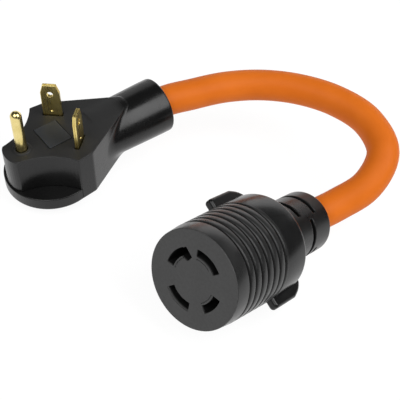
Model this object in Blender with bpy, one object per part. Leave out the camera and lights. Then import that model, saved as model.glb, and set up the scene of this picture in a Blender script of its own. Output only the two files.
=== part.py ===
"""Camper dogbone adapter: a 30 A three-prong travel plug, a short thick cord and a 30 A locking connector.

The plug is built with its mating face at Z = 0, its prongs along +Z and its cord leaving along +X.
The connector is built with its mating face at X = 0 and its cord leaving along +X.
Each end is then moved to where it lies on the ground, and the cord is swept between the two exits.
"""

import math

import bmesh
import bpy
import numpy as np
from mathutils import Euler, Matrix, Vector

MM = 0.001

# ---- plug: driving dimensions in millimetres ----
GROUND_TO_BLADES = 21.6
BLADE_SPREAD = 21.6
BLADE_WIDTH = 8.3
BLADE_THICK = 1.6
BLADE_REACH = 16.5
BLADE_ROOT = 9.6
BLADE_CHAMFER = (1.3, 4.1)
BLADE_HOLE_Z = 11.6
BLADE_HOLE_R = 1.35
BLADE_ANGLE = 45.0
PIN_R = 2.415
PIN_REACH = 20.7
PIN_ROOT = 13.5
NOSE_START = (-5.9, 6.2)
SCOOP_SAG = 3.0
GRIP_CORNER = (15.2, 20.2)
SHOULDER = (22.5, 19.5)
TAPER_END = (46.0, 6.0)
BODY_DEPTH = 17.3
BACK_TOP = 17.5
COVER_END = 30.0
PLUG_DEPTH = 23.6
BACK_CENTRE_X = 11.8
BACK_R = 20.5
FACE_WALL = 3.6
SLEEVE_R = 12.75
SLEEVE_NECK_R = 12.2
SLEEVE_AXIS_Z = -12.3
SLEEVE_START = 36.0
SLEEVE_END = 69.0
PANEL_X = (9.4, 20.4)
PANEL_HALF = 6.9
PANEL_RECESS = 0.6

# ---- connector ----
FACE_R = 20.7
BARREL_R = 21.8
RIB_START_R = 21.3
BARREL_LENGTH = 48.0
FIRST_GROOVE = 7.7
GROOVE_PITCH = 4.0
GROOVE_COUNT = 7
GROOVE_WIDTH = 0.9
GROOVE_DEPTH = 1.3
BORE_R = 18.6
FACE_THICK = 9.0
SLOT_RADII = (10.2, 13.0)
FIN_START = 31.2
FIN_FLAT_END = 45.5
FIN_R = 25.9
FIN_THICK = 4.2
FIN_TURN = -5.0
RELIEF_R = 13.8
RELIEF_END = 80.3
RELIEF_START = 40.4

# ---- cord ----
CORD_R = 7.3
CORD_BORE_R = 5.3
WIRE_R = 2.2
WIRE_ORBIT = 2.72
FILLER_R = 0.85
FILLER_ORBIT = 3.95
GAP = 0.3
CORD_ROUTE = [
    (40.9, 43.3, 30.3),
    (59.0, 39.6, 31.9),
    (74.9, 32.1, 33.8),
    (88.8, 21.1, 35.2),
    (98.3, 5.7, 37.0),
    (101.8, -12.2, 37.6),
    (96.6, -29.3, 34.3),
    (84.0, -35.7, 24.6),
    (70.1, -34.1, 17.2),
]
CORD_STEP = 7.0

# ---- where each end lies: position of its origin in millimetres and its turn in degrees ----
PLUG_PLACE = ((-46.233, 46.961, 26.012), (-5.40, -11.69, 0.00))
CONNECTOR_PLACE = ((-26.925, -46.665, 30.947), (-62.11, 12.00, 9.86))


def place_matrix(place):
    """The matrix, in metres, that carries an end from its own axes to where it lies."""
    position, turn = place
    rotation = Euler([math.radians(a) for a in turn], "XYZ").to_matrix().to_4x4()
    return Matrix.Translation(Vector(position) * MM) @ rotation


PLUG = place_matrix(PLUG_PLACE)
CONNECTOR = place_matrix(CONNECTOR_PLACE)

for old in list(bpy.data.objects):
    bpy.data.objects.remove(old, do_unlink=True)

parts = bpy.data.collections.new("power_adapter_dogbone")
cutters = bpy.data.collections.new("cutters")
bpy.context.scene.collection.children.link(parts)
bpy.context.scene.collection.children.link(cutters)


def material(name, colour, metallic, roughness):
    made = bpy.data.materials.new(name)
    made.use_nodes = True
    shader = made.node_tree.nodes["Principled BSDF"]
    shader.inputs["Base Color"].default_value = (*colour, 1.0)
    shader.inputs["Metallic"].default_value = metallic
    shader.inputs["Roughness"].default_value = roughness
    return made


BLACK = (0.03, 0.03, 0.032)
GREY = (0.06, 0.06, 0.062)
BRASS = (0.72, 0.52, 0.2)
ORANGE = (0.75, 0.2, 0.03)


def add_mesh(name, bm, look=None, collection=None):
    """Turns a bmesh into an object, in its end's own axes and in metres."""
    bmesh.ops.recalc_face_normals(bm, faces=bm.faces)
    data = bpy.data.meshes.new(name)
    bm.to_mesh(data)
    bm.free()
    data.transform(Matrix.Scale(MM, 4))
    obj = bpy.data.objects.new(name, data)
    (collection or parts).objects.link(obj)
    if look:
        data.materials.append(material(name, *look))
    if collection is cutters:
        obj.hide_render = True
        obj.display_type = "WIRE"
    return obj


def prism(outline, low, high, axis="z"):
    """A closed prism over an outline of 2D points, between two heights along an axis."""
    bm = bmesh.new()
    rings = []
    for height in (low, high):
        ring = []
        for u, v in outline:
            point = {"z": (u, v, height), "x": (height, u, v)}[axis]
            ring.append(bm.verts.new(point))
        rings.append(ring)
    bm.faces.new(rings[0])
    bm.faces.new(rings[1])
    count = len(outline)
    for i in range(count):
        j = (i + 1) % count
        bm.faces.new((rings[0][i], rings[0][j], rings[1][j], rings[1][i]))
    return bm


def lathe(profile, sides=48, axis="x", centre=(0.0, 0.0, 0.0)):
    """A closed solid turned from (distance along the axis, radius) points; radius 0 lies on the axis."""
    bm = bmesh.new()
    rings = []
    for along, radius in profile:
        turns = sides if radius > 0 else 1
        ring = []
        for k in range(turns):
            angle = 2 * math.pi * k / sides
            a = radius * math.cos(angle)
            b = radius * math.sin(angle)
            point = (along, a, b) if axis == "x" else (a, b, along)
            ring.append(bm.verts.new(Vector(point) + Vector(centre)))
        rings.append(ring)
    closed = all(radius > 0 for _, radius in profile)
    pairs = list(zip(rings, rings[1:]))
    if closed:
        pairs.append((rings[-1], rings[0]))
    for first, second in pairs:
        if len(first) == 1 and len(second) == 1:
            continue
        for k in range(sides):
            n = (k + 1) % sides
            if len(first) == 1:
                bm.faces.new((first[0], second[n], second[k]))
            elif len(second) == 1:
                bm.faces.new((first[k], first[n], second[0]))
            else:
                bm.faces.new((first[k], first[n], second[n], second[k]))
    return bm


def box(low, high):
    outline = [(low[0], low[1]), (high[0], low[1]), (high[0], high[1]), (low[0], high[1])]
    return prism(outline, low[2], high[2])


def apply_boolean(obj, other, operation):
    modifier = obj.modifiers.new(operation.lower(), "BOOLEAN")
    modifier.operation = operation
    modifier.solver = "EXACT"
    modifier.object = other


def cut(obj, bm, label):
    apply_boolean(obj, add_mesh(obj.name + "_" + label, bm, None, cutters), "DIFFERENCE")


def merge(obj, bm, label):
    apply_boolean(obj, add_mesh(obj.name + "_" + label, bm, None, cutters), "UNION")


def turned(bm, degrees, axis="Z", about=(0.0, 0.0, 0.0)):
    bmesh.ops.rotate(
        bm,
        verts=bm.verts,
        cent=about,
        matrix=Matrix.Rotation(math.radians(degrees), 3, axis),
    )
    return bm


def moved(bm, offset):
    bmesh.ops.translate(bm, verts=bm.verts, vec=Vector(offset))
    return bm


def mirrored_outline(half):
    """A full outline from its points on the +Y side, which run from -X to +X."""
    return [(x, y) for x, y in half] + [(x, -y) for x, y in reversed(half) if y > 0]


def arc(centre, radius, start, end, steps):
    points = []
    for k in range(steps + 1):
        angle = math.radians(start + (end - start) * k / steps)
        points.append((centre[0] + radius * math.cos(angle), centre[1] + radius * math.sin(angle)))
    return points


def fillet(before, corner, after, radius, steps=4):
    """Points that round one corner of an outline."""
    p = Vector(corner)
    a = (Vector(before) - p).normalized()
    b = (Vector(after) - p).normalized()
    half = a.angle(b) / 2
    reach = radius / math.tan(half)
    centre = p + (a + b).normalized() * radius / math.sin(half)
    start = p + a * reach
    end = p + b * reach
    points = []
    for k in range(steps + 1):
        blend = start.lerp(end, k / steps)
        points.append(tuple(centre + (blend - centre).normalized() * radius))
    return points


def scoop_points(start, end, sag, steps):
    """The concave finger scoop between the nose and the wide part of the grip."""
    a = Vector(start)
    b = Vector(end)
    inward = Vector((b.y - a.y, a.x - b.x)).normalized()
    points = []
    for k in range(steps + 1):
        t = k / steps
        points.append(tuple(a.lerp(b, t) + inward * sag * 4 * t * (1 - t)))
    return points


# ---------------------------------------------------------------- plug body
nose = [(-7.95, 0.0), (-7.8, 2.0), (-7.3, 4.2)]
scoop = scoop_points(NOSE_START, GRIP_CORNER, SCOOP_SAG, 10)
grip = fillet(scoop[-2], GRIP_CORNER, SHOULDER, 0.8, 3)
shoulder = fillet(GRIP_CORNER, SHOULDER, TAPER_END, 3.0, 5)
body_half = nose + scoop[:-1] + grip + shoulder + [TAPER_END]
body_outline = mirrored_outline(body_half)

plug_body = add_mesh("plug_body", prism(body_outline, -PLUG_DEPTH, 0.0), (BLACK, 0.0, 0.5))
sleeve_profile = [
    (SLEEVE_START, 0.0),
    (SLEEVE_START, SLEEVE_NECK_R),
    (48.0, SLEEVE_NECK_R),
    (54.0, SLEEVE_R),
    (SLEEVE_END - 1.4, SLEEVE_R),
    (SLEEVE_END - 0.4, SLEEVE_R - 0.4),
    (SLEEVE_END, SLEEVE_R - 1.2),
    (SLEEVE_END, 0.0),
]
merge(plug_body, lathe(sleeve_profile, 40, "x", (0, 0, SLEEVE_AXIS_Z)), "sleeve")
cut(plug_body, box((-30.0, -30.0, -40.0), (COVER_END + 0.2, 30.0, -BODY_DEPTH)), "cover_seat")
pocket_half = [(-4.0, 3.6), (0.5, 5.2), (5.0, 6.6), (9.5, 10.0), (14.5, 15.6), (22.0, 15.6)]
pocket_half += [(30.0, 11.0), (36.5, 8.8)]
cut(plug_body, prism(mirrored_outline(pocket_half), -BODY_DEPTH - 1.0, -FACE_WALL), "pocket")
cord_bore = [(28.0, 0.0), (28.0, CORD_R + GAP), (80.0, CORD_R + GAP), (80.0, 0.0)]
cut(plug_body, lathe(cord_bore, 24, "x", (0, 0, SLEEVE_AXIS_Z)), "bore")
cut(
    plug_body,
    box((PANEL_X[0], -PANEL_HALF, -PANEL_RECESS), (PANEL_X[1], PANEL_HALF, 1.0)),
    "panel_recess",
)


def pin_hole_profile(depth):
    """The clear hole that the ground pin stands in, down to a height below the face."""
    return [(depth, 0.0), (depth, PIN_R + GAP), (1.0, PIN_R + GAP), (1.0, 0.0)]


cut(plug_body, lathe(pin_hole_profile(-5.0), 24, "z"), "pin_hole")


def at_blade(bm, side):
    """Moves a blade's own shape to its place: width along X first, then turned in plan."""
    turned(bm, -side * BLADE_ANGLE)
    return moved(bm, (GROUND_TO_BLADES, side * BLADE_SPREAD / 2, 0.0))


for side, label in ((1, "hot"), (-1, "neutral")):
    half_w = BLADE_WIDTH / 2 + GAP
    half_t = BLADE_THICK / 2 + GAP
    slot = box((-half_w, -half_t, -FACE_WALL - 1.0), (half_w, half_t, 1.0))
    cut(plug_body, at_blade(slot, side), label + "_slot")

panel_box = box(
    (PANEL_X[0] + 0.2, -PANEL_HALF + 0.2, -PANEL_RECESS + 0.1),
    (PANEL_X[1] - 0.2, PANEL_HALF - 0.2, 0.12),
)
face_panel = add_mesh("plug_face_panel", panel_box, (GREY, 0.0, 0.6))

# ---------------------------------------------------------------- plug back cover
back_half = [
    (BACK_CENTRE_X - BACK_R * math.cos(math.radians(a)), BACK_R * math.sin(math.radians(a)))
    for a in range(0, 91, 9)
]
taper_slope = (SHOULDER[1] - TAPER_END[1]) / (TAPER_END[0] - SHOULDER[0])
back_half += shoulder + [(COVER_END, SHOULDER[1] - (COVER_END - SHOULDER[0]) * taper_slope)]
back_cover = add_mesh(
    "plug_back_cover", prism(mirrored_outline(back_half), -PLUG_DEPTH, -BACK_TOP), (BLACK, 0.0, 0.5)
)

# ---------------------------------------------------------------- prong carrier, prongs and crimps
CARRIER_TOP = -FACE_WALL - 0.2
CARRIER_LOW = -9.4
carrier_half = [(-3.6, 3.1), (0.7, 4.8), (5.2, 6.2), (9.8, 9.6), (14.8, 15.1), (21.8, 15.1)]
carrier_half += [(29.2, 10.9)]
carrier = add_mesh(
    "plug_prong_carrier", prism(mirrored_outline(carrier_half), CARRIER_LOW, CARRIER_TOP), (GREY, 0.0, 0.6)
)
cut(carrier, lathe(pin_hole_profile(-20.0), 24, "z"), "pin_hole")

blade_outline = [
    (-BLADE_WIDTH / 2, -BLADE_ROOT),
    (BLADE_WIDTH / 2, -BLADE_ROOT),
    (BLADE_WIDTH / 2, BLADE_REACH - BLADE_CHAMFER[1]),
    (BLADE_WIDTH / 2 - BLADE_CHAMFER[0], BLADE_REACH),
    (-BLADE_WIDTH / 2 + BLADE_CHAMFER[0], BLADE_REACH),
    (-BLADE_WIDTH / 2, BLADE_REACH - BLADE_CHAMFER[1]),
]


def blade_bmesh():
    """A flat blade with its width along X, its thickness along Y and its length along Z."""
    bm = prism(blade_outline, -BLADE_THICK / 2, BLADE_THICK / 2)
    return turned(bm, 90.0, "X")


def across_blade(radius, z, half_length):
    """A cylinder across a blade's thickness at one height."""
    ends = (-half_length, half_length)
    bm = lathe([(ends[0], 0.0), (ends[0], radius), (ends[1], radius), (ends[1], 0.0)], 20, "z")
    turned(bm, 90.0, "X")
    return moved(bm, (0.0, 0.0, z))


blades = []
for side, label in ((1, "hot"), (-1, "neutral")):
    half_w = BLADE_WIDTH / 2 + GAP
    half_t = BLADE_THICK / 2 + GAP
    slot = box((-half_w, -half_t, CARRIER_LOW - 1.0), (half_w, half_t, CARRIER_TOP + 1.0))
    cut(carrier, at_blade(slot, side), label + "_slot")
    blade = add_mesh(label + "_blade", at_blade(blade_bmesh(), side), (BRASS, 1.0, 0.3))
    hole = across_blade(BLADE_HOLE_R, BLADE_HOLE_Z, 3.0)
    cut(blade, at_blade(hole, side), "hole")
    blades.append(blade)

pin_profile = [(-PIN_ROOT, 0.0), (-PIN_ROOT, PIN_R)]
for k in range(7):
    angle = math.radians(90 * k / 6)
    radius = PIN_R * math.cos(angle)
    pin_profile.append((PIN_REACH - PIN_R + PIN_R * math.sin(angle), radius if k < 6 else 0.0))
ground_pin = add_mesh("ground_pin", lathe(pin_profile, 32, "z"), (BRASS, 1.0, 0.3))

collar = lathe([(0.05, PIN_R + GAP), (0.05, 4.1), (0.4, 3.9), (0.4, PIN_R + GAP)], 32, "z")
pin_collar = add_mesh("ground_pin_collar", collar, (BLACK, 0.0, 0.5))

CRIMP_R = 3.3
CRIMP_BORE = WIRE_R + GAP
CRIMP_LENGTH = 5.0
CRIMP_Z = -13.3
crimp_spots = {"hot": (24.2, 6.2), "neutral": (24.2, -6.2), "ground": (3.4, 0.0)}
for label, (x, y) in crimp_spots.items():
    ring = lathe(
        [(x, CRIMP_BORE), (x, CRIMP_R), (x + CRIMP_LENGTH, CRIMP_R), (x + CRIMP_LENGTH, CRIMP_BORE)],
        20,
        "x",
        (0, y, CRIMP_Z),
    )
    add_mesh("plug_" + label + "_crimp", ring, (BRASS, 1.0, 0.35))

plug_objects = list(parts.objects) + list(cutters.objects)

# ---------------------------------------------------------------- connector housing
profile = [(0.0, FACE_R - 1.1), (0.0, FACE_R), (FIRST_GROOVE - GROOVE_WIDTH / 2, RIB_START_R)]
for k in range(GROOVE_COUNT):
    middle = FIRST_GROOVE + k * GROOVE_PITCH
    outer = RIB_START_R + (BARREL_R - RIB_START_R) * k / (GROOVE_COUNT - 1)
    if k:
        profile.append((middle - GROOVE_WIDTH / 2, outer))
    profile.append((middle - GROOVE_WIDTH / 2 + 0.15, outer - GROOVE_DEPTH))
    profile.append((middle + GROOVE_WIDTH / 2 - 0.15, outer - GROOVE_DEPTH))
    profile.append((middle + GROOVE_WIDTH / 2, outer))
profile += [(BARREL_LENGTH - 1.5, BARREL_R), (BARREL_LENGTH - 0.6, BARREL_R - 0.2)]
profile += [(BARREL_LENGTH - 0.2, BARREL_R - 0.6), (BARREL_LENGTH, BARREL_R - 1.5)]
profile += [(BARREL_LENGTH, RELIEF_R + GAP), (RELIEF_START - 0.4, RELIEF_R + GAP)]
profile += [(RELIEF_START - 0.4, BORE_R), (FACE_THICK + 0.2, BORE_R), (FACE_THICK + 0.2, FACE_R - 1.1)]
housing = add_mesh("connector_housing", lathe(profile, 48), (BLACK, 0.0, 0.4))


def fin_bmesh(side):
    """A finger fin: flat front, straight top, and a rounded tail that hangs past the barrel's rear."""
    outline = [(FIN_START, 20.0), (FIN_START, FIN_R - 0.5), (FIN_START + 0.5, FIN_R)]
    outline += [(FIN_FLAT_END, FIN_R), (49.0, 24.5), (51.4, 22.9), (53.0, 21.0), (52.6, 19.8)]
    outline += [(BARREL_LENGTH - 1.2, 19.0)]
    bm = prism(outline, -FIN_THICK / 2, FIN_THICK / 2)
    turned(bm, 90.0, "X")
    return turned(bm, FIN_TURN + (180.0 if side < 0 else 0.0), "X")


for side, label in ((1, "upper_fin"), (-1, "lower_fin")):
    merge(housing, fin_bmesh(side), label)

# ---------------------------------------------------------------- connector face and its slots
face_profile = [(0.0, 0.0), (0.0, FACE_R - 1.4), (FACE_THICK, FACE_R - 1.4), (FACE_THICK, 0.0)]
face = add_mesh("connector_face", lathe(face_profile, 48), (GREY, 0.0, 0.6))


def slot_outline(inner, outer, start, end):
    """An arc-shaped slot; its angles run from -Z towards -Y, seen on the mating face."""
    points = []
    for radius, first, last in ((inner, start, end), (outer, end, start)):
        for k in range(9):
            angle = math.radians(first + (last - first) * k / 8)
            points.append((-radius * math.sin(angle), -radius * math.cos(angle)))
    return points


SLOTS = {
    "line_x": (SLOT_RADII[0], SLOT_RADII[1], 79.0, 135.0),
    "line_y": (SLOT_RADII[0], SLOT_RADII[1], 259.0, 313.0),
    "neutral": (SLOT_RADII[0], SLOT_RADII[1] + 0.4, -13.0, 31.0),
    "ground": (SLOT_RADII[0], SLOT_RADII[1] + 0.5, 160.0, 214.0),
}
for label, (inner, outer, start, end) in SLOTS.items():
    cut(face, prism(slot_outline(inner, outer, start, end), -1.0, FACE_THICK + 1.0, "x"), label + "_slot")
hook = prism(slot_outline(8.0, SLOT_RADII[0] + 0.6, 151.0, 166.0), -1.0, FACE_THICK + 1.0, "x")
cut(face, hook, "ground_hook")

# ---------------------------------------------------------------- contact carrier and contacts
CARRIER_X = (FACE_THICK + 0.4, 30.0)
carrier_profile = [
    (CARRIER_X[0], 0.0),
    (CARRIER_X[0], BORE_R - 0.4),
    (CARRIER_X[1], BORE_R - 0.4),
    (CARRIER_X[1], 0.0),
]
contact_carrier = add_mesh("connector_contact_carrier", lathe(carrier_profile, 48), (GREY, 0.0, 0.6))
CONTACT_RADII = (10.7, 12.6)
CONTACT_X = (CARRIER_X[0] + 3.6, CARRIER_X[1] + 3.0)
for label, (inner, outer, start, end) in SLOTS.items():
    chamber = slot_outline(inner - 0.2, outer + 0.2, start - 1.5, end + 1.5)
    cut(contact_carrier, prism(chamber, CARRIER_X[0] - 1.0, CARRIER_X[1] + 1.0, "x"), label + "_chamber")
    contact_outline = slot_outline(CONTACT_RADII[0], CONTACT_RADII[1], start + 6.0, end - 6.0)
    contact = add_mesh(
        "contact_" + label, prism(contact_outline, *CONTACT_X, "x"), (BRASS, 1.0, 0.35)
    )
    gap_outline = slot_outline(11.25, 12.05, start + 2.0, end - 2.0)
    cut(contact, prism(gap_outline, CONTACT_X[0] - 1.0, CONTACT_X[0] + 12.0, "x"), "mouth")

rear_profile = [(36.0, 0.0), (36.0, BORE_R - 0.4), (39.6, BORE_R - 0.4), (39.6, 0.0)]
rear_plug = add_mesh("connector_rear_bulkhead", lathe(rear_profile, 48), (GREY, 0.0, 0.6))
cut(rear_plug, lathe([(30.0, 0.0), (30.0, 5.6), (45.0, 5.6), (45.0, 0.0)], 32), "wire_way")

bar_angle = math.radians(107.0)
bar_along = Vector((-math.sin(bar_angle), -math.cos(bar_angle)))
bar_across = Vector((-bar_along.y, bar_along.x))
bar = [tuple(bar_along * a * 12.6 + bar_across * b * 2.5) for a, b in ((1, 1), (-1, 1), (-1, -1), (1, -1))]
add_mesh("line_jumper_bar", prism(bar, CARRIER_X[1] + 3.3, CARRIER_X[1] + 4.5, "x"), (BRASS, 1.0, 0.35))

# ---------------------------------------------------------------- connector strain relief
relief_profile = [
    (RELIEF_START, CORD_R + GAP),
    (RELIEF_START, RELIEF_R),
    (RELIEF_END - 0.8, RELIEF_R),
    (RELIEF_END, RELIEF_R - 0.8),
    (RELIEF_END, CORD_R + GAP),
]
relief = add_mesh("connector_strain_relief", lathe(relief_profile, 48), (BLACK, 0.0, 0.4))
RELIEF_SLOTS = [
    (61.0, 1.8, 65.0, 170.0),
    (71.5, 1.8, 65.0, 176.0),
    (67.0, 1.8, 182.0, 293.0),
    (61.0, 1.8, 245.0, 350.0),
    (71.5, 1.8, 245.0, 356.0),
    (67.0, 1.8, 2.0, 58.0),
]
for index, (middle, width, start, end) in enumerate(RELIEF_SLOTS):
    outline = []
    for radius, first, last in ((10.2, start, end), (RELIEF_R + 2.0, end, start)):
        for k in range(13):
            angle = math.radians(first + (last - first) * k / 12)
            outline.append((radius * math.cos(angle), radius * math.sin(angle)))
    cut(relief, prism(outline, middle - width / 2, middle + width / 2, "x"), "slot_" + str(index))

connector_objects = [
    obj for obj in list(parts.objects) + list(cutters.objects) if obj not in plug_objects
]

for obj in plug_objects:
    obj.matrix_world = PLUG
for obj in connector_objects:
    obj.matrix_world = CONNECTOR


# ---------------------------------------------------------------- cord
def smooth_path(points, step):
    """A smooth curve through the points, read every step along its length; points in line stay straight."""
    points = np.array(points)
    legs = np.diff(points, axis=0)
    lengths = np.linalg.norm(legs, axis=1)
    slopes = legs / lengths[:, None]
    tangents = [slopes[0]]
    for i in range(1, len(points) - 1):
        before, after = lengths[i - 1], lengths[i]
        tangents.append((slopes[i - 1] * after + slopes[i] * before) / (before + after))
    tangents.append(slopes[-1])
    fine = []
    for i, length in enumerate(lengths):
        for t in np.linspace(0.0, 1.0, 40, endpoint=False):
            fine.append(
                (2 * t**3 - 3 * t**2 + 1) * points[i]
                + (t**3 - 2 * t**2 + t) * length * tangents[i]
                + (3 * t**2 - 2 * t**3) * points[i + 1]
                + (t**3 - t**2) * length * tangents[i + 1]
            )
    fine.append(points[-1])
    fine = np.array(fine)
    along = np.concatenate([[0.0], np.cumsum(np.linalg.norm(np.diff(fine, axis=0), axis=1))])
    count = max(2, round(along[-1] / step))
    stations = np.linspace(0.0, along[-1], count + 1)
    return np.stack([np.interp(stations, along, fine[:, i]) for i in range(3)], axis=1), stations


def frames(path):
    """For each point of a path, two directions square to it that don't twist along the way."""
    tangents = np.gradient(path, axis=0)
    tangents /= np.linalg.norm(tangents, axis=1)[:, None]
    side = np.cross(tangents[0], [0.0, 0.0, 1.0])
    side /= np.linalg.norm(side)
    found = []
    for tangent in tangents:
        side = side - tangent * side.dot(tangent)
        side /= np.linalg.norm(side)
        found.append((side, np.cross(tangent, side)))
    return found


def sweep(path, directions, radius, sides, bore=0.0):
    """A round tube, solid or hollow, along a path."""
    bm = bmesh.new()
    shells = []
    for r in (radius, bore) if bore else (radius,):
        rings = []
        for point, (a, b) in zip(path, directions):
            ring = []
            for k in range(sides):
                angle = 2 * math.pi * k / sides
                ring.append(bm.verts.new(point + r * (a * math.cos(angle) + b * math.sin(angle))))
            rings.append(ring)
        shells.append(rings)
        for first, second in zip(rings, rings[1:]):
            for k in range(sides):
                n = (k + 1) % sides
                bm.faces.new((first[k], first[n], second[n], second[k]))
    for end in (0, -1):
        if bore:
            for k in range(sides):
                n = (k + 1) % sides
                outer = shells[0][end]
                inner = shells[1][end]
                bm.faces.new((outer[k], outer[n], inner[n], inner[k]))
        else:
            bm.faces.new(shells[0][end])
    return bm


def on(matrix, point):
    """A point of one end's own axes, in millimetres, carried to where that end lies."""
    return np.array(matrix @ (Vector(point) * MM)) / MM


JACKET_IN_PLUG = 38.0
JACKET_IN_CONNECTOR = 42.0
WIRE_IN_CONNECTOR = 35.2
plug_stations = (JACKET_IN_PLUG, 47.0, 58.0, SLEEVE_END, SLEEVE_END + 2.0)
connector_stations = (RELIEF_END + 2.0, RELIEF_END, 71.0, 61.0, 51.0, JACKET_IN_CONNECTOR)
route = [on(PLUG, (x, 0, SLEEVE_AXIS_Z)) for x in plug_stations]
route += [np.array(p) for p in CORD_ROUTE]
route += [on(CONNECTOR, (x, 0, 0)) for x in connector_stations]
path, stations = smooth_path(route, CORD_STEP)
directions = frames(path)
add_mesh("cord_jacket", sweep(path, directions, CORD_R, 16, CORD_BORE_R), (ORANGE, 0.0, 0.45))

WIRES = {"hot": (0.6, 0.05, 0.03), "neutral": (0.85, 0.85, 0.82), "ground": (0.05, 0.45, 0.1)}
LAY_LENGTH = 170.0
FIRST_WIRE_ANGLE = math.radians(210.0)


def offset_path(orbit, start_angle):
    """The centreline of one strand, which winds slowly round the cord's own centreline."""
    strand = []
    for point, station, (a, b) in zip(path, stations, directions):
        angle = start_angle + 2 * math.pi * station / LAY_LENGTH
        strand.append(point + orbit * (a * math.cos(angle) + b * math.sin(angle)))
    return np.array(strand)


wire_end = on(CONNECTOR, (WIRE_IN_CONNECTOR, 0, 0)) - path[-1]
for index, (label, colour) in enumerate(WIRES.items()):
    filler = offset_path(FILLER_ORBIT, FIRST_WIRE_ANGLE + 2 * math.pi * (index + 0.5) / 3)
    add_mesh("cord_filler_" + str(index + 1), sweep(filler, frames(filler), FILLER_R, 6), (GREY, 0.0, 0.9))
    strand = offset_path(WIRE_ORBIT, FIRST_WIRE_ANGLE + 2 * math.pi * index / 3)
    x, y = crimp_spots[label]
    tail = [on(PLUG, (x + 0.8, y, CRIMP_Z)), on(PLUG, (x + CRIMP_LENGTH + 1.0, y, CRIMP_Z))]
    bend, _ = smooth_path(tail + [strand[0], strand[1]], 3.0)
    keep = [p for p in bend if np.linalg.norm(p - strand[1]) > np.linalg.norm(strand[0] - strand[1]) + 1.0]
    strand = np.concatenate([keep, strand, [strand[-1] + wire_end]])
    add_mesh(label + "_wire", sweep(strand, frames(strand), WIRE_R, 8), (colour, 0.0, 0.5))

for obj in parts.objects:
    bpy.context.view_layer.objects.active = obj
    obj.select_set(True)
bpy.ops.object.shade_smooth()
for obj in parts.objects:
    obj.data.set_sharp_from_angle(angle=math.radians(35))
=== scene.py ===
"""Camper dogbone adapter, as it looks: the plug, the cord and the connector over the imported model.

Lengths are in millimetres in each end's own axes, and the end's matrix carries them, in metres, to
where it lies.
The plug has its mating face at Z = 0, its prongs along +Z and its cord leaving along +X.
The connector has its mating face at X = 0 and its cord leaving along +X.
"""

import math

import bmesh
import bpy
import numpy as np
from mathutils import Euler, Matrix, Vector


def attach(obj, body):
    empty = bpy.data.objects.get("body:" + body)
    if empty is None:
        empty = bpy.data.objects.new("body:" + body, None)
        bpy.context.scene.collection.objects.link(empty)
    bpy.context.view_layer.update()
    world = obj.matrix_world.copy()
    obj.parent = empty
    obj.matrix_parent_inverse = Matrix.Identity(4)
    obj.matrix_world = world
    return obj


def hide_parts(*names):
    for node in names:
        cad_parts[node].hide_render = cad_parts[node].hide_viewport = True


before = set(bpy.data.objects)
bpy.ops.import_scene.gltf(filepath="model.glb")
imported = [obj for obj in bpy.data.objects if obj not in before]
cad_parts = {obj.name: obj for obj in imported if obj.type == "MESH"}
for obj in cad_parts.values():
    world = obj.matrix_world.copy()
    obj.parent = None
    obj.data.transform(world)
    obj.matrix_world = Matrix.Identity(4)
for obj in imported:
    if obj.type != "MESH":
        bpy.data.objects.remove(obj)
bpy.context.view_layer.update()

MM = 0.001

# ---- plug ----
BODY_DEPTH = 17.3
BACK_TOP = 17.32
PLUG_DEPTH = 23.6
FACE_WALL = 3.6
NOSE_TIP = -7.95
NOSE_START = (-5.9, 6.2)
SCOOP_SAG = 3.0
GRIP_CORNER = (15.2, 20.2)
SHOULDER = (22.5, 19.5)
TAPER_END = (46.0, 6.0)
TONGUE_END = (50.5, 2.5)
COVER_END = 30.0
RIM_END = 15.4
SKIRT = 1.5
BACK_CENTRE_X = 11.8
BACK_R = 20.5
SLEEVE_R = 12.75
SLEEVE_NECK_R = 12.2
SLEEVE_AXIS_Z = -12.3
SLEEVE_START = 33.0
SLEEVE_TAPER = (42.0, 64.0)
SLEEVE_END = 69.0
BORE_START = 30.0
FACE_EDGE = 0.4
BACK_EDGE = 1.3
CORD_LIP = 0.35
PANEL_X = (9.4, 20.4)
PANEL_HALF = 6.9
PANEL_RECESS = 0.6
GROUND_TO_BLADES = 21.6
BLADE_SPREAD = 21.6
BLADE_WIDTH = 8.3
BLADE_THICK = 1.6
BLADE_REACH = 16.5
BLADE_ROOT = 9.6
BLADE_CHAMFER = (1.3, 4.1)
BLADE_HOLE_Z = 11.6
BLADE_HOLE_R = 1.35
BLADE_ANGLE = math.radians(42.0)
PIN_R = 2.415
PIN_REACH = 20.7
PIN_ROOT = 13.5
PRONG_GAP = 0.3

# ---- connector ----
FACE_R = 20.7
FACE_RIM = 0.5
BARREL_R = 21.8
RIB_START_R = 21.3
BARREL_LENGTH = 48.0
REAR_ROUNDING = 2.4
FIRST_GROOVE = 7.7
GROOVE_PITCH = 4.0
GROOVE_COUNT = 7
GROOVE_WIDTH = 0.9
GROOVE_DEPTH = 1.3
BORE_R = 18.6
FACE_THICK = 9.0
SLOT_INNER = 10.2
FIN_START = 31.2
FIN_FLAT_END = 45.5
FIN_R = 26.0
FIN_THICK = 4.4
FIN_TURN = -5.0
RELIEF_R = 13.8
RELIEF_START = 40.4
RELIEF_END = 80.3

# ---- cord ----
CORD_R = 7.3
CORD_GAP = 0.3
CORD_ROUTE = [
    (40.9, 43.3, 30.3),
    (59.0, 39.6, 31.9),
    (74.9, 32.1, 33.8),
    (88.8, 21.1, 35.2),
    (98.3, 5.7, 37.0),
    (101.8, -12.2, 37.6),
    (96.6, -29.3, 34.3),
    (84.0, -35.7, 24.6),
    (70.1, -34.1, 17.2),
]

# ---- where each end lies: position of its origin in millimetres and its turn in degrees ----
PLUG_PLACE = ((-46.233, 46.961, 26.012), (-5.40, -11.69, 0.00))
CONNECTOR_PLACE = ((-26.925, -46.665, 30.947), (-62.11, 12.00, 9.86))


def place_matrix(place):
    position, turn = place
    rotation = Euler([math.radians(a) for a in turn], "XYZ").to_matrix().to_4x4()
    return Matrix.Translation(Vector(position) * MM) @ rotation


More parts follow.
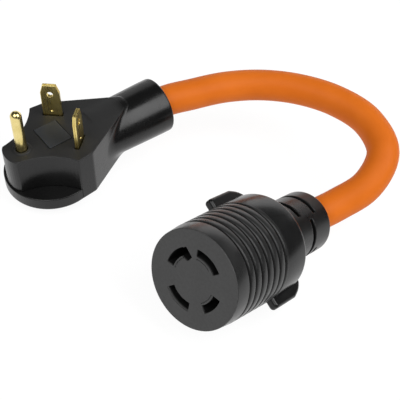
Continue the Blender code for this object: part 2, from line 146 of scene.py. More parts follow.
PLUG = place_matrix(PLUG_PLACE)
CONNECTOR = place_matrix(CONNECTOR_PLACE)


# ================================================================ camera
camera_data = bpy.data.cameras.new("camera")
camera_data.sensor_width = 36.0
camera_data.lens = 88.08
camera_data.clip_start = 0.01
camera = bpy.data.objects.new("camera", camera_data)
camera.location = Vector((-221.003, -202.009, 308.952)) * MM
camera.rotation_euler = [math.radians(a) for a in (45.043, -12.556, -37.54)]
bpy.context.scene.collection.objects.link(camera)
bpy.context.scene.camera = camera


# ================================================================ materials
class Nodes:
    """A material's node tree, with short calls for the nodes used here."""

    def __init__(self, name):
        self.material = bpy.data.materials.new(name)
        self.material.use_nodes = True
        self.tree = self.material.node_tree
        self.shader = self.tree.nodes["Principled BSDF"]

    def add(self, kind, **settings):
        node = self.tree.nodes.new(kind)
        for key, value in settings.items():
            setattr(node, key, value)
        return node

    def link(self, source, target):
        self.tree.links.new(source, target)

    def set(self, **sockets):
        for key, value in sockets.items():
            self.shader.inputs[key.replace("_", " ")].default_value = value

    def object_space(self):
        return self.add("ShaderNodeTexCoord").outputs["Object"]

    def noise(self, scale, detail=4.0, roughness=0.5, stretch=None):
        node = self.add("ShaderNodeTexNoise")
        node.inputs["Scale"].default_value = scale
        node.inputs["Detail"].default_value = detail
        node.inputs["Roughness"].default_value = roughness
        source = self.object_space()
        if stretch:
            mapping = self.add("ShaderNodeMapping")
            mapping.inputs["Scale"].default_value = stretch
            self.link(source, mapping.inputs["Vector"])
            source = mapping.outputs["Vector"]
        self.link(source, node.inputs["Vector"])
        return node.outputs["Fac"]

    def ramp(self, source, stops):
        node = self.add("ShaderNodeValToRGB")
        elements = node.color_ramp.elements
        while len(elements) < len(stops):
            elements.new(0.5)
        for element, (position, colour) in zip(elements, stops):
            element.position = position
            element.color = (*colour, 1.0)
        self.link(source, node.inputs["Fac"])
        return node.outputs["Color"]

    def spread(self, source, low, high, start=0.35, end=0.65):
        node = self.add("ShaderNodeMapRange")
        node.inputs["From Min"].default_value = start
        node.inputs["From Max"].default_value = end
        node.inputs["To Min"].default_value = low
        node.inputs["To Max"].default_value = high
        self.link(source, node.inputs["Value"])
        return node.outputs["Result"]

    def bump(self, source, strength, distance, after=None):
        node = self.add("ShaderNodeBump")
        node.inputs["Strength"].default_value = strength
        node.inputs["Distance"].default_value = distance
        self.link(source, node.inputs["Height"])
        if after:
            self.link(after, node.inputs["Normal"])
        return node.outputs["Normal"]


def zone_mask(nodes, edges):
    """1 inside a zone of the piece's own axes, 0 outside; an edge is (axis, 0 here, 1 here) in metres."""
    split = nodes.add("ShaderNodeSeparateXYZ")
    nodes.link(nodes.object_space(), split.inputs["Vector"])
    mask = None
    for axis, outside, inside in edges:
        step = nodes.spread(split.outputs[axis], 0.0, 1.0, outside, inside)
        if mask:
            both = nodes.add("ShaderNodeMath", operation="MULTIPLY")
            nodes.link(mask, both.inputs[0])
            nodes.link(step, both.inputs[1])
            step = both.outputs["Value"]
        mask = step
    return mask


def moulded_plastic(name, dark, light, roughness, gloss=0.35, flow=38.0, zone=None):
    """Moulded plastic: faint colour flow, a fine spark-eroded grain and slightly uneven gloss.

    A zone is (edges, how many times lighter, roughness): a stretch with another mould finish on the plug's
    face and the ribbed barrel, and painted shade deep in the mating face's slots.
    """
    nodes = Nodes(name)
    colour = nodes.ramp(nodes.noise(flow, 3.0), [(0.35, dark), (0.65, light)])
    handled = nodes.noise(90.0, 5.0, 0.6)
    rough = nodes.spread(handled, roughness - 0.04, roughness + 0.05)
    if zone:
        edges, lighter, zone_roughness = zone
        mask = zone_mask(nodes, edges)
        # the zone's colour factor; below 1 it paints shade, as on the walls of the mating face's slots
        lift = nodes.spread(mask, 1.0, lighter, 0.0, 1.0)
        scale = nodes.add("ShaderNodeVectorMath", operation="SCALE")
        nodes.link(colour, scale.inputs[0])
        nodes.link(lift, scale.inputs["Scale"])
        colour = scale.outputs["Vector"]
        change = nodes.spread(mask, 0.0, zone_roughness - roughness, 0.0, 1.0)
        total = nodes.add("ShaderNodeMath", operation="ADD")
        nodes.link(rough, total.inputs[0])
        nodes.link(change, total.inputs[1])
        rough = total.outputs["Value"]
    nodes.link(colour, nodes.shader.inputs["Base Color"])
    nodes.link(rough, nodes.shader.inputs["Roughness"])
    normal = nodes.bump(nodes.noise(120.0, 2.0), 0.10, 0.0002)
    fine = nodes.noise(2200.0, 2.0)
    nodes.link(nodes.bump(fine, 0.18, 0.00006, normal), nodes.shader.inputs["Normal"])
    nodes.set(Specular_IOR_Level=gloss)
    return nodes.material


def rolled_brass(name, dark, light, roughness, stretch):
    """Brass with drawn or rolled streaks along one direction, a little tarnish and fine scratches."""
    nodes = Nodes(name)
    tarnish = nodes.noise(210.0, 6.0, 0.55)
    nodes.link(nodes.ramp(tarnish, [(0.32, dark), (0.62, light)]), nodes.shader.inputs["Base Color"])
    streak = nodes.noise(900.0, 3.0, 0.6, stretch)
    nodes.link(
        nodes.spread(streak, roughness - 0.03, roughness + 0.06), nodes.shader.inputs["Roughness"]
    )
    nodes.link(nodes.bump(streak, 0.08, 0.00003), nodes.shader.inputs["Normal"])
    nodes.set(Metallic=1.0)
    return nodes.material


def cord_rubber(name, dark, light):
    """A soft matt cord jacket with a fine extruded skin."""
    nodes = Nodes(name)
    mottle = nodes.noise(60.0, 4.0)
    nodes.link(nodes.ramp(mottle, [(0.3, dark), (0.7, light)]), nodes.shader.inputs["Base Color"])
    skin = nodes.noise(1500.0, 3.0)
    nodes.link(nodes.spread(skin, 0.44, 0.56), nodes.shader.inputs["Roughness"])
    wave = nodes.noise(110.0, 2.0)
    normal = nodes.bump(wave, 0.12, 0.0003)
    nodes.link(nodes.bump(skin, 0.15, 0.00006, normal), nodes.shader.inputs["Normal"])
    nodes.set(Specular_IOR_Level=0.12)
    return nodes.material


def grey(level):
    return (level, level, level)


# zones: (edges, how many times lighter, roughness)
PLUG_FACE_ZONE = ([("Z", -0.0006, -0.0002), ("X", 0.049, 0.045)], 3.0, 0.5)
RIBBED_ZONE = ([("X", 0.0345, 0.0335)], 1.9, 0.29)
# painted shade: the mating face's slot walls deeper than 1 mm are darkened to 0.08 of the face colour and
# made rougher
SLOT_WALL_PAINTED_SHADE = ([("X", 0.0004, 0.0010)], 0.08, 0.6)

# name: darker colour, lighter colour, roughness, other settings
PLASTICS = {
    "plug_black": (grey(0.0050), grey(0.0068), 0.24, {"zone": PLUG_FACE_ZONE}),
    "panel_grey": ((0.030, 0.033, 0.037), (0.035, 0.038, 0.042), 0.5, {}),
    "barrel_black": (grey(0.0075), grey(0.0095), 0.21, {"zone": RIBBED_ZONE}),
    "fin_black": (grey(0.004), grey(0.006), 0.30, {}),
    # the mating face's slot walls take painted shade through its zone
    "face_grey": (grey(0.045), grey(0.052), 0.5, {"flow": 900.0, "zone": SLOT_WALL_PAINTED_SHADE}),
    "relief_black": (grey(0.006), grey(0.009), 0.29, {}),
    "insert_grey": (grey(0.006), grey(0.009), 0.6, {}),
    "red_insulation": ((0.5, 0.03, 0.02), (0.6, 0.05, 0.03), 0.4, {}),
    "white_insulation": ((0.75, 0.75, 0.72), (0.85, 0.85, 0.82), 0.4, {}),
    "green_insulation": ((0.03, 0.35, 0.08), (0.05, 0.45, 0.1), 0.4, {}),
    "filler_string": ((0.4, 0.36, 0.28), (0.5, 0.46, 0.38), 0.9, {}),
}
# name: darker colour, lighter colour, roughness, stretch of the streaks
BRASSES = {
    "blade_brass": ((0.74, 0.58, 0.19), (0.86, 0.70, 0.27), 0.27, (1, 1, 0.08)),
    "pin_brass": ((0.72, 0.58, 0.22), (0.84, 0.70, 0.31), 0.2, (1, 1, 0.08)),
    "contact_brass": ((0.40, 0.27, 0.09), (0.56, 0.4, 0.16), 0.35, (0.08, 1, 1)),
}
LOOKS = {"orange_jacket": cord_rubber("orange_jacket", (0.66, 0.145, 0.010), (0.73, 0.168, 0.014))}
for name, (dark, light, roughness, settings) in PLASTICS.items():
    LOOKS[name] = moulded_plastic(name, dark, light, roughness, **settings)
for name, (dark, light, roughness, stretch) in BRASSES.items():
    LOOKS[name] = rolled_brass(name, dark, light, roughness, stretch)


# ================================================================ shape tools
def meet(a, b, radius):
    """Distance field of what two fields share, with the edge between them rounded."""
    corner = np.hypot(np.maximum(a + radius, 0.0), np.maximum(b + radius, 0.0))
    return np.minimum(np.maximum(a, b), -radius) + corner


def join(a, b, radius):
    """Distance field of two fields together, with a fillet where they meet."""
    corner = np.hypot(np.maximum(radius - a, 0.0), np.maximum(radius - b, 0.0))
    return np.maximum(np.minimum(a, b), radius) - corner


def carve(a, b, radius):
    """Distance field of the first without the second, with the lip rounded."""
    return meet(a, -b, radius)


def outline_distance(x, y, outline):
    """Signed distance to a closed outline, negative inside."""
    nearest = np.inf
    inside = False
    for (x0, y0), (x1, y1) in zip(outline, outline[1:] + outline[:1]):
        ex = x1 - x0
        ey = y1 - y0
        wx = x - x0
        wy = y - y0
        t = np.clip((wx * ex + wy * ey) / (ex * ex + ey * ey), 0.0, 1.0)
        nearest = np.minimum(nearest, (wx - ex * t) ** 2 + (wy - ey * t) ** 2)
        crosses = ((y0 > y) != (y1 > y)) & (wx < ex * wy / (ey or 1.0))
        inside = inside ^ crosses
    return np.sqrt(nearest) * np.where(inside, -1.0, 1.0)


def box_distance(x, y, z, low, high):
    dx = np.maximum(low[0] - x, x - high[0])
    dy = np.maximum(low[1] - y, y - high[1])
    dz = np.maximum(low[2] - z, z - high[2])
    return np.maximum(np.maximum(dx, dy), dz)


CORNERS = [(i, j, k) for i in (0, 1) for j in (0, 1) for k in (0, 1)]
CELL_EDGES = [
    (a, b)
    for a in range(8)
    for b in range(a + 1, 8)
    if sum(np.abs(np.subtract(CORNERS[a], CORNERS[b]))) == 1
]


def slope(field, points, reach=0.02):
    """Unit gradient of a field at points."""
    parts = []
    for axis in range(3):
        shift = np.zeros(3)
        shift[axis] = reach
        ahead = field(*(points + shift).T)
        behind = field(*(points - shift).T)
        parts.append(ahead - behind)
    found = np.stack(parts, axis=1)
    return found / np.maximum(np.linalg.norm(found, axis=1), 1e-9)[:, None]


def net(field, low, high, step):
    """Points and quads of a field's zero surface, one point per grid cell that the surface crosses."""
    axes = [np.arange(a - step * 1.37, b + step * 2.0, step) for a, b in zip(low, high)]
    shape = tuple(len(a) for a in axes)
    grid = field(axes[0][:, None, None], axes[1][None, :, None], axes[2][None, None, :])
    value = np.broadcast_to(grid, shape)
    inside = value < 0
    counts = np.zeros(tuple(n - 1 for n in shape), np.int8)
    for i, j, k in CORNERS:
        counts += inside[i : shape[0] - 1 + i, j : shape[1] - 1 + j, k : shape[2] - 1 + k]
    cells = np.argwhere((counts > 0) & (counts < 8))
    index = np.full(counts.shape, -1, np.int64)
    index[tuple(cells.T)] = np.arange(len(cells))
    at = [value[tuple((cells + corner).T)] for corner in CORNERS]
    total = np.zeros((len(cells), 3))
    crossings = np.zeros(len(cells))
    for a, b in CELL_EDGES:
        crossed = (at[a] < 0) != (at[b] < 0)
        t = np.where(crossed, at[a] / np.where(crossed, at[a] - at[b], 1.0), 0.0)
        start = np.array(CORNERS[a], float)
        along = np.array(CORNERS[b], float) - start
        total += crossed[:, None] * (start + along * t[:, None])
        crossings += crossed
    origin = np.array([a[0] for a in axes])
    points = origin + (cells + total / crossings[:, None]) * step
    quads = []
    for axis in range(3):
        others = [a for a in range(3) if a != axis]
        here = inside[tuple(slice(0, -1) if a == axis else slice(1, -1) for a in range(3))]
        there = inside[tuple(slice(1, None) if a == axis else slice(1, -1) for a in range(3))]
        for change, flip in ((here & ~there, False), (~here & there, True)):
            nodes = np.argwhere(change)
            nodes[:, others] += 1
            ring = []
            for du, dv in ((-1, -1), (0, -1), (0, 0), (-1, 0)):
                cell = nodes.copy()
                cell[:, others[0]] += du
                cell[:, others[1]] += dv
                ring.append(index[tuple(cell.T)])
            quad = np.stack(ring, axis=1)
            if flip != (axis == 1):
                quad = quad[:, ::-1]
            quads.append(quad)
    for _ in range(3):
        distance = np.clip(field(*points.T), -step, step)
        points = points - slope(field, points) * distance[:, None]
    return points, np.concatenate(quads)


def finish_piece(piece, look, matrix, slot, *nodes):
    """Places a piece, gives it its look, and hides the parts of the model it stands for."""
    piece.data.materials.append(LOOKS[look])
    piece.matrix_world = matrix
    bpy.context.view_layer.update()
    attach(piece, "root")
    if nodes:
        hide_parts(*nodes)
    return piece


def new_object(name, data):
    piece = bpy.data.objects.new(name, data)
    bpy.context.scene.collection.objects.link(piece)
    return piece


def from_field(name, field, low, high, step, flatness=0.4):
    """A smooth mesh of a field's zero surface; its flat stretches are left as few large faces."""
    points, quads = net(field, low, high, step)
    bm = bmesh.new()
    made = [bm.verts.new(p) for p in points]
    for quad in quads.tolist():
        bm.faces.new([made[i] for i in quad])
    bmesh.ops.dissolve_limit(
        bm, angle_limit=math.radians(flatness), verts=bm.verts, edges=bm.edges, delimit=set()
    )
    data = bpy.data.meshes.new(name)
    bm.to_mesh(data)
    bm.free()
    left = np.empty(len(data.vertices) * 3)
    data.vertices.foreach_get("co", left)
    normals = slope(field, left.reshape(-1, 3))
    data.shade_smooth()
    data.normals_split_custom_set_from_vertices(normals.tolist())
    data.transform(Matrix.Scale(MM, 4))
    return new_object(name, data)


def from_profile(name, profile, sides=96, axis="x", sharp=40.0):
    """A turned shape from (distance along the axis, radius) points.

    The profile closes on itself unless it meets the axis.
    """
    bm = bmesh.new()
    rings = []
    for along, radius in profile:
        turns = sides if radius > 0 else 1
        ring = []
        for k in range(turns):
            angle = 2 * math.pi * k / sides
            a = radius * math.cos(angle)
            b = radius * math.sin(angle)
            ring.append(bm.verts.new((along, a, b) if axis == "x" else (a, b, along)))
        rings.append(ring)
    pairs = list(zip(rings, rings[1:]))
    if all(radius > 0 for _, radius in profile):
        pairs.append((rings[-1], rings[0]))
    for first, second in pairs:
        if len(first) == 1 and len(second) == 1:
            continue
        for k in range(sides):
            n = (k + 1) % sides
            if len(first) == 1:
                bm.faces.new((first[0], second[n], second[k]))
            elif len(second) == 1:
                bm.faces.new((first[k], first[n], second[0]))
            else:
                bm.faces.new((first[k], first[n], second[n], second[k]))
    bmesh.ops.recalc_face_normals(bm, faces=bm.faces)
    data = bpy.data.meshes.new(name)
    bm.to_mesh(data)
    bm.free()
    data.shade_smooth()
    data.set_sharp_from_angle(angle=math.radians(sharp))
    data.transform(Matrix.Scale(MM, 4))
    return new_object(name, data)


def arc_points(centre, radius, start, end, steps):
    """Points along an arc; angles are in degrees."""
    points = []
    for k in range(steps + 1):
        angle = math.radians(start + (end - start) * k / steps)
        points.append((centre[0] + radius * math.cos(angle), centre[1] + radius * math.sin(angle)))
    return points


def rounded_corner(before, corner, after, radius, steps=5):
    """Points that round one corner of an outline."""
    p = Vector(corner)
    a = (Vector(before) - p).normalized()
    b = (Vector(after) - p).normalized()
    half = a.angle(b) / 2
    reach = radius / math.tan(half)
    centre = p + (a + b).normalized() * radius / math.sin(half)
    points = []
    for k in range(steps + 1):
        blend = (p + a * reach).lerp(p + b * reach, k / steps)
        points.append(tuple(centre + (blend - centre).normalized() * radius))
    return points


def both_sides(half):
    """A whole outline from its points on the +Y side, which run from -X to +X."""
    return [(x, y) for x, y in half] + [(x, -y) for x, y in reversed(half) if y > 0]


# ================================================================ plug body
def scoop_points(steps=18):
    """The concave finger scoop between the nose and the wide part of the grip."""
    a = Vector(NOSE_START)
    b = Vector(GRIP_CORNER)
    inward = Vector((b.y - a.y, a.x - b.x)).normalized()
    points = []
    for k in range(steps + 1):
        t = k / steps
        points.append(tuple(a.lerp(b, t) + inward * SCOOP_SAG * 4 * t * (1 - t)))
    return points


nose_half = [(NOSE_TIP, 0.0), (-7.87, 1.6), (-7.6, 3.0), (-7.15, 4.3), (-6.6, 5.3)]
scoop = scoop_points()
body_half = nose_half + rounded_corner(nose_half[-1], NOSE_START, scoop[1], 0.35, 2) + scoop[1:-1]
body_half += rounded_corner(scoop[-2], GRIP_CORNER, SHOULDER, 0.6, 3)
body_half += rounded_corner(GRIP_CORNER, SHOULDER, TAPER_END, 3.0, 5)
body_half += [TAPER_END, TONGUE_END]
BODY_OUTLINE = both_sides(body_half)
pocket_half = [(-4.0, 3.6), (0.5, 5.2), (5.0, 6.6), (9.5, 10.0), (14.5, 15.6), (22.0, 15.6)]
pocket_half += [(30.0, 11.0), (36.5, 8.8)]
POCKET_OUTLINE = both_sides(pocket_half)


def across(x, y, side):
    """Coordinates along a blade's width and through its thickness, from the plug's own X and Y."""
    dx = x - GROUND_TO_BLADES
    dy = y - side * BLADE_SPREAD / 2
    turn = -side * BLADE_ANGLE
    return dx * math.cos(turn) + dy * math.sin(turn), dy * math.cos(turn) - dx * math.sin(turn)


def ease(value, start, end):
    """0 before start, 1 after end, and a smooth change between them."""
    t = np.clip((value - start) / (end - start), 0.0, 1.0)
    return t * t * (3.0 - 2.0 * t)


def plug_shell(x, y, z):
    outline = outline_distance(x, y, BODY_OUTLINE)
    body = meet(outline, z, FACE_EDGE)
    body = meet(body, -PLUG_DEPTH - z, BACK_EDGE)
    barrel = np.hypot(y, z - SLEEVE_AXIS_Z)
    start, end = SLEEVE_TAPER
    share = np.clip((x - start) / (end - start), 0.0, 1.0)
    sleeve_r = SLEEVE_NECK_R + (SLEEVE_R - SLEEVE_NECK_R) * share
    sleeve = meet(barrel - sleeve_r, x - SLEEVE_END, 0.9)
    body = join(body, np.maximum(sleeve, SLEEVE_START - x), 1.5)
    skirt = np.minimum(x - RIM_END, outline + SKIRT)
    cover = np.maximum(np.maximum(x - COVER_END - 0.02, z + BODY_DEPTH), skirt)
    body = carve(body, cover, 0.02)
    pocket = np.maximum(outline_distance(x, y, POCKET_OUTLINE), z + FACE_WALL)
    body = np.maximum(body, -pocket)
    body = carve(body, np.maximum(barrel - CORD_R - CORD_GAP, BORE_START - x), CORD_LIP)
    low = (PANEL_X[0], -PANEL_HALF, -PANEL_RECESS)
    high = (PANEL_X[1], PANEL_HALF, 2.0)
    panel = box_distance(x, y, z, low, high)
    body = carve(body, panel, 0.1)
    body = carve(body, np.hypot(x, y) - PIN_R - PRONG_GAP, 0.2)
    for side in (1, -1):
        along, through = across(x, y, side)
        wide = np.abs(along) - BLADE_WIDTH / 2 - PRONG_GAP
        slot = np.maximum(wide, np.abs(through) - BLADE_THICK / 2 - PRONG_GAP)
        body = carve(body, slot, 0.15)
    return body


plug_body = from_field("plug_shell", plug_shell, (-8.2, -20.6, -25.3), (69.2, 20.6, 0.7), 0.4)
finish_piece(plug_body, "plug_black", PLUG, "black_plastic", "plug_body")

back_half = [
    (BACK_CENTRE_X - BACK_R * math.cos(math.radians(a)), BACK_R * math.sin(math.radians(a)))
    for a in range(0, 93, 4)
]
taper_slope = (SHOULDER[1] - TAPER_END[1]) / (TAPER_END[0] - SHOULDER[0])
back_half += rounded_corner(GRIP_CORNER, SHOULDER, TAPER_END, 3.0, 5)
back_half += [(COVER_END, SHOULDER[1] - (COVER_END - SHOULDER[0]) * taper_slope)]
BACK_OUTLINE = both_sides(back_half)


def back_plate(x, y, z):
    edge = 0.45 - 0.43 * ease(x, 12.5, 15.2)
    outline = outline_distance(x, y, BACK_OUTLINE)
    plate = meet(outline, z + BACK_TOP, edge)
    skirt = np.minimum(x - RIM_END + 0.04, outline + SKIRT + 0.04)
    plate = np.maximum(plate, skirt)
    return np.maximum(meet(plate, -PLUG_DEPTH - z, BACK_EDGE), x - COVER_END)


back_cover = from_field("plug_back_plate", back_plate, (-8.8, -20.6, -23.8), (30.2, 20.6, -17.2), 0.4)
finish_piece(back_cover, "plug_black", PLUG, "black_plastic", "plug_back_cover")


def face_panel(x, y, z):
    low = (PANEL_X[0] + 0.12, -PANEL_HALF + 0.12, -PANEL_RECESS + 0.05)
    high = (PANEL_X[1] - 0.12, PANEL_HALF - 0.12, 0.12)
    side = np.maximum(np.maximum(low[0] - x, x - high[0]), np.maximum(low[1] - y, y - high[1]))
    return meet(meet(side, z - high[2], 0.15), low[2] - z, 0.05)


panel = from_field("plug_panel", face_panel, (9.4, -7.1, -0.7), (20.6, 7.1, 0.3), 0.2)
finish_piece(panel, "panel_grey", PLUG, "dark_grey_plastic", "plug_face_panel")

# ================================================================ prongs
TIP_HALF = BLADE_WIDTH / 2 - BLADE_CHAMFER[0]
BLADE_OUTLINE = [
    (-BLADE_WIDTH / 2, -BLADE_ROOT),
    (BLADE_WIDTH / 2, -BLADE_ROOT),
    (BLADE_WIDTH / 2, BLADE_REACH - BLADE_CHAMFER[1]),
    (TIP_HALF, BLADE_REACH),
    (-TIP_HALF, BLADE_REACH),
    (-BLADE_WIDTH / 2, BLADE_REACH - BLADE_CHAMFER[1]),
]


def blade(x, y, z):
    """A flat folded blade, with its seam at its edge: width along X, thickness along Y, length along Z."""
    shape = meet(outline_distance(x, z, BLADE_OUTLINE), np.abs(y) - BLADE_THICK / 2, 0.22)
    seam = np.maximum(np.abs(y) - 0.11, -0.18 - outline_distance(x, z, BLADE_OUTLINE))
    shape = carve(shape, seam, 0.04)
    shape = carve(shape, np.hypot(x, z - BLADE_HOLE_Z) - BLADE_HOLE_R, 0.15)
    return carve(shape, np.sqrt(x**2 + (np.abs(y) - 0.95) ** 2 + (z - 2.6) ** 2) - 0.6, 0.08)


for side, name, node in ((1, "blade_far", "hot_blade"), (-1, "blade_near", "neutral_blade")):
    piece = from_field(name, blade, (-4.3, -0.9, -9.7), (4.3, 0.9, 16.6), 0.13)
    place = Matrix.Translation(Vector((GROUND_TO_BLADES, side * BLADE_SPREAD / 2, 0.0)) * MM)
    turn = Matrix.Rotation(-side * BLADE_ANGLE, 4, "Z")
    finish_piece(piece, "blade_brass", PLUG @ place @ turn, "brass", node)

pin_profile = [(-PIN_ROOT, 0.0), (-PIN_ROOT, PIN_R - 0.3), (-PIN_ROOT + 0.3, PIN_R)]
pin_profile += [(-6.0, PIN_R), (6.0, PIN_R)]
for k in range(13):
    angle = math.radians(90 * k / 12)
    along = PIN_REACH - PIN_R + PIN_R * math.sin(angle)
    pin_profile.append((along, PIN_R * math.cos(angle) if k < 12 else 0.0))
pin = from_profile("round_pin", pin_profile, 64, "z")
finish_piece(pin, "pin_brass", PLUG, "brass", "ground_pin")

collar_profile = [(0.02, PIN_R + 0.25), (0.02, 4.1), (0.22, 4.0), (0.36, 3.8)]
collar_profile += [(0.38, PIN_R + 0.45), (0.3, PIN_R + 0.25)]
collar = from_profile("pin_collar", collar_profile, 64, "z")
finish_piece(collar, "plug_black", PLUG, "black_plastic", "ground_pin_collar")

# ================================================================ connector housing
# from a rib's top down into a groove: distance along the axis and depth
LIP = [(-0.55, 0.0), (-0.36, 0.05), (-0.18, 0.19), (-0.05, 0.42), (0.02, 0.75)]
LIP += [(0.12, GROOVE_DEPTH)]
housing_profile = [(FACE_RIM + 0.02, FACE_R - 1.1), (FACE_RIM + 0.02, FACE_R)]
for k in range(GROOVE_COUNT):
    middle = FIRST_GROOVE + k * GROOVE_PITCH
    outer = RIB_START_R + (BARREL_R - RIB_START_R) * k / (GROOVE_COUNT - 1)
    for along, depth in LIP:
        housing_profile.append((middle - GROOVE_WIDTH / 2 + along, outer - depth))
    for along, depth in reversed(LIP):
        housing_profile.append((middle + GROOVE_WIDTH / 2 - along, outer - depth))
rounding = (BARREL_LENGTH - REAR_ROUNDING, BARREL_R - REAR_ROUNDING)
housing_profile += arc_points(rounding, REAR_ROUNDING, 90, 0, 14)
housing_profile += [(BARREL_LENGTH, RELIEF_R + 0.6), (BARREL_LENGTH - 0.3, RELIEF_R + 0.3)]
housing_profile += [(RELIEF_START - 0.4, RELIEF_R + 0.3), (RELIEF_START - 0.4, BORE_R)]
housing_profile += [(FACE_THICK + 0.2, BORE_R), (FACE_THICK + 0.2, FACE_R - 1.1)]
housing = from_profile("barrel", housing_profile, 128)
finish_piece(housing, "barrel_black", CONNECTOR, "black_plastic", "connector_housing")


FIN_OUTLINE = [(FIN_START, 19.6)]
FIN_OUTLINE += rounded_corner(FIN_OUTLINE[0], (FIN_START, FIN_R), (FIN_FLAT_END, FIN_R), 1.6, 6)
FIN_OUTLINE += [(FIN_FLAT_END, FIN_R), (47.4, 25.3), (49.0, 24.6), (50.3, 23.8), (51.4, 22.9)]
FIN_OUTLINE += [(52.3, 22.0), (53.0, 20.9), (52.6, 19.8), (46.8, 19.0)]


def fin(name, side):
    """A finger fin: flat front, straight top, and a rounded tail that hangs past the barrel's rear."""

    def shape(x, y, z):
        return meet(outline_distance(x, side * z, FIN_OUTLINE), np.abs(y) - FIN_THICK / 2, 1.5)

    reach = sorted((side * 18.8, side * (FIN_R + 0.2)))
    low = (FIN_START - 0.2, -FIN_THICK / 2 - 0.1, reach[0])
    high = (53.2, FIN_THICK / 2 + 0.1, reach[1])
    piece = from_field(name, shape, low, high, 0.25)
    turn = Matrix.Rotation(math.radians(FIN_TURN), 4, "X")
    return finish_piece(piece, "fin_black", CONNECTOR @ turn, "black_plastic")


fin("fin_upper", 1)
fin("fin_lower", -1)

# ================================================================ connector face
SLOTS = {
    "line_x": (SLOT_INNER, 13.3, 79.0, 135.0),
    "line_y": (SLOT_INNER, 13.4, 259.0, 313.0),
    "neutral": (SLOT_INNER, 13.5, -13.0, 31.0),
    "ground": (SLOT_INNER, 13.4, 165.0, 213.0),
}
# the keyed end of the ground slot, as (Y, Z) points on the mating face
HOOK = [(-4.9, 12.5), (-4.95, 7.8), (-2.1, 7.4), (-0.9, 9.8), (-0.9, 12.9)]
# thin moulded lines beside the slots: radius, first angle, last angle
LIPS = [(9.3, 92.0, 135.0), (13.9, 259.0, 313.0), (9.3, -13.0, 31.0), (9.3, 172.0, 214.0)]


def around(y, z):
    """Radius and angle on the mating face; the angle runs from -Z towards -Y, in degrees."""
    return np.hypot(y, z), np.degrees(np.arctan2(-y, -z))


def sector(y, z, inner, outer, start, end):
    """Distance to an arc-shaped slot with straight radial ends."""
    radius, angle = around(y, z)
    middle = (start + end) / 2
    off = np.radians((angle - middle + 180.0) % 360.0 - 180.0)
    reach = math.radians(end - start) / 2
    ends = radius * np.sin(np.clip(np.abs(off) - reach, -1.5, 1.5))
    return np.maximum(np.maximum(inner - radius, radius - outer), ends)


def face_insert(x, y, z):
    radius = np.hypot(y, z)
    disc = meet(radius - (FACE_R - 1.4), x - FACE_THICK, 0.2)
    disc = np.minimum(disc, np.maximum(radius - FACE_R, x - FACE_RIM))
    disc = meet(disc, -x, 0.3)
    for name, (inner, outer, start, end) in SLOTS.items():
        opening = sector(y, z, inner, outer, start, end)
        if name == "ground":
            opening = np.minimum(opening, outline_distance(y, z, HOOK))
        disc = carve(disc, opening, 0.18)
    for at, start, end in LIPS:
        groove = np.maximum(sector(y, z, at - 0.18, at + 0.18, start, end), x - 0.22)
        disc = carve(disc, groove, 0.08)
    return disc


insert = from_field("mating_face", face_insert, (-0.1, -20.8, -20.8), (9.1, 20.8, 20.8), 0.25)
finish_piece(insert, "face_grey", CONNECTOR, "dark_grey_plastic", "connector_face")

# ================================================================ connector strain relief
# middle along the axis, first angle and last angle of each slot
RELIEF_SLOTS = [
    (61.0, 65.0, 170.0),
    (71.5, 65.0, 176.0),
    (67.0, 182.0, 293.0),
    (61.0, 245.0, 350.0),
    (71.5, 245.0, 356.0),
    (67.0, 2.0, 58.0),
]


def strain_relief(x, y, z):
    radius = np.hypot(y, z)
    angle = np.degrees(np.arctan2(z, y))
    tube = meet(radius - RELIEF_R, x - RELIEF_END, 0.8)
    tube = meet(tube, RELIEF_START - x, 0.3)
    tube = carve(tube, radius - CORD_R - CORD_GAP, 0.4)
    for middle, start, end in RELIEF_SLOTS:
        off = np.radians((angle - (start + end) / 2 + 180.0) % 360.0 - 180.0)
        ends = radius * np.sin(np.clip(np.abs(off) - math.radians(end - start) / 2, -1.5, 1.5))
        slot = meet(np.abs(x - middle) - 1.05, ends, 0.9)
        tube = carve(tube, np.maximum(slot, 10.2 - radius), 0.3)
    return tube


relief = from_field("strain_relief", strain_relief, (40.2, -14.0, -14.0), (80.5, 14.0, 14.0), 0.35)
finish_piece(relief, "relief_black", CONNECTOR, "black_plastic", "connector_strain_relief")


# ================================================================ cord
def on(matrix, point):
    """A point of one end's own axes, in millimetres, carried to where that end lies."""
    return np.array(matrix @ (Vector(point) * MM)) / MM


def smooth_path(points, step):
    """A smooth curve through the points, read every step along it; points in line stay straight."""
    points = np.array(points)
    legs = np.diff(points, axis=0)
    lengths = np.linalg.norm(legs, axis=1)
    slopes = legs / lengths[:, None]
    tangents = [slopes[0]]
    for i in range(1, len(points) - 1):
        before, after = lengths[i - 1], lengths[i]
        tangents.append((slopes[i - 1] * after + slopes[i] * before) / (before + after))
    tangents.append(slopes[-1])
    fine = []
    for i, length in enumerate(lengths):
        for t in np.linspace(0.0, 1.0, 40, endpoint=False):
            fine.append(
                (2 * t**3 - 3 * t**2 + 1) * points[i]
                + (t**3 - 2 * t**2 + t) * length * tangents[i]
                + (3 * t**2 - 2 * t**3) * points[i + 1]
                + (t**3 - t**2) * length * tangents[i + 1]
            )
    fine.append(points[-1])
    fine = np.array(fine)
    along = np.concatenate([[0.0], np.cumsum(np.linalg.norm(np.diff(fine, axis=0), axis=1))])
    stations = np.linspace(0.0, along[-1], max(2, round(along[-1] / step)) + 1)
    return np.stack([np.interp(stations, along, fine[:, i]) for i in range(3)], axis=1)


route = [on(PLUG, (x, 0, SLEEVE_AXIS_Z)) for x in (66.0, SLEEVE_END, SLEEVE_END + 2.0)]
route += [np.array(p) for p in CORD_ROUTE]
route += [on(CONNECTOR, (x, 0, 0)) for x in (RELIEF_END + 2.0, RELIEF_END, 77.0)]
path = smooth_path(route, 2.5)

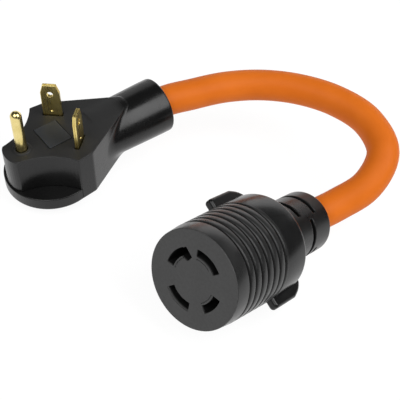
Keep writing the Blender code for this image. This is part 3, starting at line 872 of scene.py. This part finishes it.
curve = bpy.data.curves.new("orange_cord", "CURVE")
curve.dimensions = "3D"
curve.twist_mode = "MINIMUM"
curve.bevel_depth = CORD_R * MM
curve.bevel_resolution = 10
curve.use_fill_caps = True
spline = curve.splines.new("POLY")
spline.points.add(len(path) - 1)
for target, point, share in zip(spline.points, path, np.linspace(0.0, 1.0, len(path))):
    target.co = (*(point * MM), 1.0)
    target.radius = 0.975 + 0.06 * share
spline.use_smooth = True
cord = new_object("orange_cord", curve)
finish_piece(cord, "orange_jacket", Matrix.Identity(4), "orange_jacket", "cord_jacket")

# ================================================================ hidden parts that stay as modelled
KEPT = {
    "plug_prong_carrier": "insert_grey",
    "connector_contact_carrier": "insert_grey",
    "connector_rear_bulkhead": "insert_grey",
    "plug_hot_crimp": "contact_brass",
    "plug_neutral_crimp": "contact_brass",
    "plug_ground_crimp": "contact_brass",
    "contact_line_x": "contact_brass",
    "contact_line_y": "contact_brass",
    "contact_neutral": "contact_brass",
    "contact_ground": "contact_brass",
    "line_jumper_bar": "contact_brass",
    "hot_wire": "red_insulation",
    "neutral_wire": "white_insulation",
    "ground_wire": "green_insulation",
    "cord_filler_1": "filler_string",
    "cord_filler_2": "filler_string",
    "cord_filler_3": "filler_string",
}
for node, look in KEPT.items():
    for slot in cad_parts[node].material_slots:
        slot.material = LOOKS[look]

# ================================================================ stage and light
floor_data = bpy.data.meshes.new("floor")
floor_data.from_pydata([(-3, -3, 0), (3, -3, 0), (3, 3, 0), (-3, 3, 0)], [], [(0, 1, 2, 3)])
floor = new_object("floor", floor_data)
floor.location.z = -0.0004
paper = Nodes("white_paper")
paper.set(Base_Color=(0.1, 0.1, 0.1, 1.0), Roughness=1.0)
paper.shader.inputs["Specular IOR Level"].default_value = 0.0
paper.shader.inputs["Emission Color"].default_value = (1.0, 1.0, 1.0, 1.0)
paper.shader.inputs["Emission Strength"].default_value = 0.93
floor_data.materials.append(paper.material)

# the room is dim, so that black plastic stays black, and the far background is as pale as the floor
world = bpy.data.worlds.new("studio")
world.use_nodes = True
tree = world.node_tree
room = tree.nodes["Background"]
room.inputs["Color"].default_value = (0.95, 0.97, 1.0, 1.0)
room.inputs["Strength"].default_value = 0.06
backdrop = tree.nodes.new("ShaderNodeBackground")
backdrop.inputs["Color"].default_value = (1.0, 1.0, 1.0, 1.0)
backdrop.inputs["Strength"].default_value = 0.95
seen = tree.nodes.new("ShaderNodeLightPath")
choice = tree.nodes.new("ShaderNodeMixShader")
tree.links.new(seen.outputs["Is Camera Ray"], choice.inputs["Fac"])
tree.links.new(room.outputs["Background"], choice.inputs[1])
tree.links.new(backdrop.outputs["Background"], choice.inputs[2])
tree.links.new(choice.outputs["Shader"], tree.nodes["World Output"].inputs["Surface"])
bpy.context.scene.world = world


def softbox(name, azimuth, height, distance, size, watts):
    """A rectangular soft light that faces the object from an azimuth and a height, both in degrees."""
    data = bpy.data.lights.new(name, "AREA")
    data.shape = "RECTANGLE"
    data.size, data.size_y = size
    data.energy = watts
    lamp = bpy.data.objects.new(name, data)
    level = math.cos(math.radians(height))
    away = Vector((
        level * math.cos(math.radians(azimuth)),
        level * math.sin(math.radians(azimuth)),
        math.sin(math.radians(height)),
    ))
    lamp.location = away * distance
    lamp.rotation_euler = away.to_track_quat("Z", "Y").to_euler()
    bpy.context.scene.collection.objects.link(lamp)


softbox("key", -60.0, 55.0, 1.0, (0.6, 0.85), 7.4)
softbox("fill", -165.0, 52.0, 1.2, (0.9, 0.9), 8.2)
softbox("rim", 28.0, 13.0, 1.5, (1.4, 0.6), 3.6)
softbox("back", 69.0, 22.0, 1.2, (0.5, 0.8), 0.9)

bpy.context.scene.view_settings.view_transform = "Standard"
